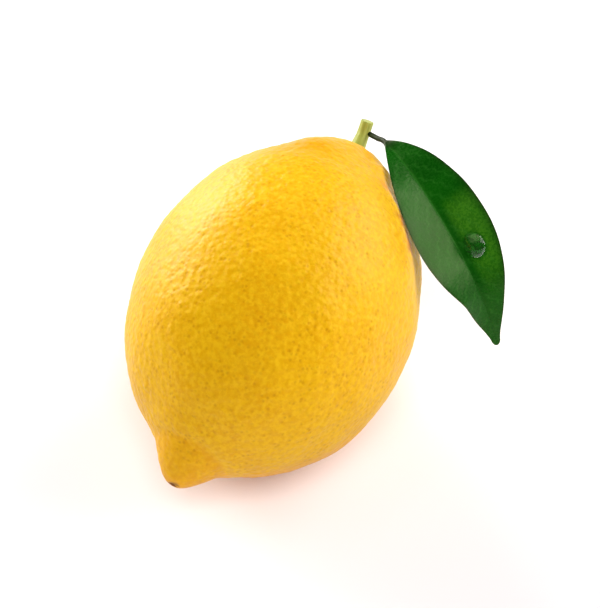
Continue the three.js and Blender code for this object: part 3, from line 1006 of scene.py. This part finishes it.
# %% The stem's material
STEM_GREEN = (0.360, 0.400, 0.070, 1)
STEM_PALE = (0.520, 0.560, 0.190, 1)
STEM_OLIVE = (0.270, 0.310, 0.060, 1)
CALYX_BROWN = (0.300, 0.230, 0.080, 1)
PITH = (0.420, 0.440, 0.150, 1)
STEM_PALE_SHARE = 0.6
STEM_FURROWS = dict(ridge=(1.02, 0.97), share=(0.0, 0.5))
CALYX_TIPS = dict(reach=(1.9, 3.0), share=(0.0, 0.85))
BARK_RING = (1.05, 1.4)
STEM_ROUGHNESS = (0.48, 0.66)
STEM_GRAIN_HEIGHT = 0.05


def make_stem_finish():
    """Pale ridges on green, olive in the furrows, brown on the calyx's tips, pith on the cut face."""
    material, tree, shader = new_material("stem", Specular_IOR_Level=0.35)
    mottling = place_group(tree, MOTTLING, Patch_Scale=260, Fleck_Scale=2400)
    colour = tint(tree, STEM_GREEN, mottling.outputs["Patches"], STEM_PALE_SHARE, STEM_PALE)
    furrows = spread(tree, attribute(tree, "ridge"), *STEM_FURROWS["ridge"], *STEM_FURROWS["share"])
    colour = mix_colour(tree, furrows, colour, STEM_OLIVE)
    browned = spread(tree, attribute(tree, "reach"), *CALYX_TIPS["reach"], *CALYX_TIPS["share"])
    colour = tint(tree, colour, browned, attribute(tree, "calyx"), CALYX_BROWN)
    colour = mix_colour(tree, attribute(tree, "cut"), colour, PITH)
    outer = spread(tree, attribute(tree, "reach"), *BARK_RING)
    colour = tint(tree, colour, outer, attribute(tree, "cut"), STEM_OLIVE)
    join(tree, colour, shader.inputs["Base Color"])
    matt = spread(tree, mottling.outputs["Flecks"], 0, 1, *STEM_ROUGHNESS)
    join(tree, matt, shader.inputs["Roughness"])
    relief = place_group(tree, FINE_RELIEF, Cell_Scale=2600, Grain_Scale=6000, Grain=0.6)
    join(tree, bump(tree, relief.outputs["Height"], STEM_GRAIN_HEIGHT), shader.inputs["Normal"])
    return material


# %% [markdown]
# ## The leaf's finish
#
# The upper face is deep green and waxy, so it mirrors bright things softly; the lower face is
# paler and dull. The midrib and the veins are a little lighter, the blade is finely freckled
# with glands of its own, and its margin has a thin darker line.

# %% The leaf's material
LEAF_DEEP = (0.0020, 0.072, 0.0015, 1)
LEAF_FRESH = (0.0060, 0.110, 0.0030, 1)
# The next colour is painted light, for the lighter yellow-green patch on the right half.
LEAF_PAINTED_LIGHT = (0.0480, 0.190, 0.0080, 1)
LEAF_VEIN = (0.0400, 0.190, 0.0250, 1)
LEAF_UNDER = (0.090, 0.230, 0.055, 1)
LEAF_MARGIN = (0.012, 0.040, 0.006, 1)
PETIOLE_DARK = (0.004, 0.016, 0.002, 1)
FRESH_PATCHES, FRESH_FLECKS = 0.7, 0.40
PAINTED_LIGHT_STREAKS = (0.55, 1.0)
VEIN_SHARE, RIB_SHARE = 0.35, 0.55
LEAF_ROUGHNESS, MATT_ADDS = (0.24, 0.33), 0.22
LEAF_GRAIN_HEIGHT = 0.03


def make_leaf_finish():
    """Deep to fresh green, the lighter yellow-green patch of painted light by the drop, the paler
    underside, lighter veins and rib, then the margin and the petiole."""
    material, tree, shader = new_material("leaf", Specular_IOR_Level=0.31, IOR=1.45)
    shader.inputs["Specular Tint"].default_value = (1.0, 0.97, 0.62, 1)
    mottling = place_group(tree, MOTTLING, Patch_Scale=110, Fleck_Scale=1500)
    colour = tint(tree, LEAF_DEEP, mottling.outputs["Patches"], FRESH_PATCHES, LEAF_FRESH)
    colour = tint(tree, colour, mottling.outputs["Flecks"], FRESH_FLECKS, LEAF_FRESH)
    streaks = spread(tree, mottling.outputs["Flecks"], 0, 1, *PAINTED_LIGHT_STREAKS)
    # Painted light: the lighter yellow-green patch, broken into streaks.
    colour = tint(tree, colour, attribute(tree, "painted_light_patch"), streaks, LEAF_PAINTED_LIGHT)
    colour = mix_colour(tree, attribute(tree, "under"), colour, LEAF_UNDER)
    colour = tint(tree, colour, attribute(tree, "vein"), VEIN_SHARE, LEAF_VEIN)
    colour = tint(tree, colour, attribute(tree, "midrib"), RIB_SHARE, LEAF_VEIN)
    colour = mix_colour(tree, attribute(tree, "margin"), colour, LEAF_MARGIN)
    stalk = maths(tree, "SUBTRACT", 1.0, attribute(tree, "blade"))
    colour = mix_colour(tree, stalk, colour, PETIOLE_DARK)
    join(tree, colour, shader.inputs["Base Color"])
    satin = spread(tree, mottling.outputs["Flecks"], 0, 1, *LEAF_ROUGHNESS)
    matt = maths(tree, "MAXIMUM", attribute(tree, "under"), stalk)
    join(tree, maths(tree, "MULTIPLY_ADD", matt, MATT_ADDS, satin), shader.inputs["Roughness"])
    relief = place_group(tree, FINE_RELIEF, Cell_Scale=1500, Grain_Scale=5000, Grain=0.4)
    join(tree, bump(tree, relief.outputs["Height"], LEAF_GRAIN_HEIGHT), shader.inputs["Normal"])
    return material


# %% [markdown]
# ## Water
#
# Water's look is mostly what it mirrors and bends. Its pale green tint is painted shade: it
# darkens the drop and the leaf seen through it. A very faint, slow relief stands for the small
# unevenness of a drop that sits on a veined leaf.

# %% The water's material
WATER_PAINTED_SHADE = (0.760, 0.900, 0.760, 1)
WATER_PAINTED_SHADE_DEEPER = (0.680, 0.860, 0.700, 1)
WATER_WAVE_HEIGHT = 0.006


def make_water_finish():
    """Glass of water's bending power, with a slow green tint that is painted shade, and a faint relief."""
    material, tree, shader = new_material(
        "water", Roughness=0.015, IOR=1.333, Specular_IOR_Level=0.30, Transmission_Weight=1.0
    )
    mottling = place_group(tree, MOTTLING, Patch_Scale=300, Fleck_Scale=900)
    # Painted shade: the green tints darken the drop.
    colour = mix_colour(tree, mottling.outputs["Patches"], WATER_PAINTED_SHADE, WATER_PAINTED_SHADE_DEEPER)
    join(tree, colour, shader.inputs["Base Color"])
    waves_height = bump(tree, mottling.outputs["Patches"], WATER_WAVE_HEIGHT)
    join(tree, waves_height, shader.inputs["Normal"])
    return material


# %% Dress the pieces
for piece, make, cad_node, slot in (
    (rind, make_rind_finish, "fruit", "rind"),
    (stem, make_stem_finish, "stem", "stem_green"),
    (leaf, make_leaf_finish, "leaf", "leaf_green"),
    (drop, make_water_finish, "water_drop", "water"),
):
    piece.data.materials.append(make())
    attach(piece, "root")
    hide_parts(cad_node)
    print(piece.name, "stands for", cad_node)

# %% [markdown]
# ## Floor and light
#
# The floor is plain and pale. Two large soft lamps stand low behind the fruit, one on the left
# and one on the right: they draw its two soft highlights, and the right one lays a sheen on the
# half of the leaf that tilts towards it. Two weaker ones, one high and one low in front, light
# what faces the camera and leave no highlight. The dim even light of the room fills the rest.

# %% The floor
FLOOR_SIZE = 2.4
FLOOR_WHITE = (0.885, 0.868, 0.905, 1)
FLOOR_WARMER = (0.890, 0.868, 0.898, 1)


def make_floor():
    """A large square at the height that the fruit rests on."""
    half = FLOOR_SIZE / 2
    corners = [(-half, -half, 0), (half, -half, 0), (half, half, 0), (-half, half, 0)]
    mesh = bpy.data.meshes.new("floor")
    mesh.from_pydata(corners, [], [(0, 1, 2, 3)])
    floor = bpy.data.objects.new("floor", mesh)
    bpy.context.scene.collection.objects.link(floor)
    material, tree, shader = new_material("floor", Roughness=0.75, Specular_IOR_Level=0.2)
    mottling = place_group(tree, MOTTLING, Patch_Scale=4, Fleck_Scale=60)
    colour = mix_colour(tree, mottling.outputs["Patches"], FLOOR_WHITE, FLOOR_WARMER)
    join(tree, colour, shader.inputs["Base Color"])
    mesh.materials.append(material)
    return floor


make_floor()


# %% The lights
LAMP_DISTANCE = 1.6
ROOM_FILL = 0.10
WARM_WHITE = (1.0, 0.985, 0.95)
PLAIN_WHITE = (1.0, 1.0, 1.0)


def soft_box(name, bearing, rise, wide, high, watts, colour=PLAIN_WHITE):
    """A flat soft lamp facing the fruit. In degrees, its bearing counts leftwards from the side behind
    the fruit, as the camera sees it, and its rise up from the floor; wide and high are the angles
    that it spans, so each side is 2 * distance * tan(angle / 2)."""
    right, _, _ = camera_axes()
    behind = np.cross([0.0, 0.0, 1.0], right)
    bearing, rise, wide, high = np.radians([bearing, rise, wide, high])
    level = math.cos(bearing) * behind - math.sin(bearing) * right
    direction = math.cos(rise) * level + math.sin(rise) * np.array([0.0, 0.0, 1.0])
    data = bpy.data.lights.new(name, "AREA")
    data.shape = "RECTANGLE"
    data.size = 2 * LAMP_DISTANCE * math.tan(wide / 2)
    data.size_y = 2 * LAMP_DISTANCE * math.tan(high / 2)
    data.energy = watts
    data.color = colour
    lamp = bpy.data.objects.new(name, data)
    lamp.visible_camera = False
    sideways = unit(np.cross([0.0, 0.0, 1.0], direction))
    upwards = np.cross(direction, sideways)
    set_place(lamp, sideways, upwards, direction, BODY_CENTRE + direction * LAMP_DISTANCE / MM)
    return lamp


soft_box("left lamp", bearing=42, rise=20, wide=48, high=36, watts=34, colour=WARM_WHITE)
soft_box("right lamp", bearing=-70, rise=29, wide=62, high=44, watts=27, colour=WARM_WHITE)
high_lamp = soft_box("high front lamp", bearing=180, rise=58, wide=30, high=30, watts=12)
low_lamp = soft_box("low front lamp", bearing=165, rise=20, wide=90, high=22, watts=4)
high_lamp.visible_glossy = False
low_lamp.visible_glossy = False


def make_room():
    """A dim even fill; a white backdrop is seen only where the camera looks past the floor."""
    world = bpy.data.worlds.new("room")
    world.use_nodes = True
    tree = world.node_tree
    seen = tree.nodes.new("ShaderNodeLightPath").outputs["Is Camera Ray"]
    strength = maths(tree, "MULTIPLY_ADD", seen, 1 - ROOM_FILL, ROOM_FILL)
    background = tree.nodes["Background"]
    background.inputs["Color"].default_value = (*PLAIN_WHITE, 1)
    join(tree, strength, background.inputs["Strength"])
    return world


bpy.context.scene.world = make_room()
bpy.context.scene.view_settings.view_transform = "Standard"
bpy.context.scene.view_settings.look = "Medium High Contrast"

# %% The end
bpy.context.view_layer.update()
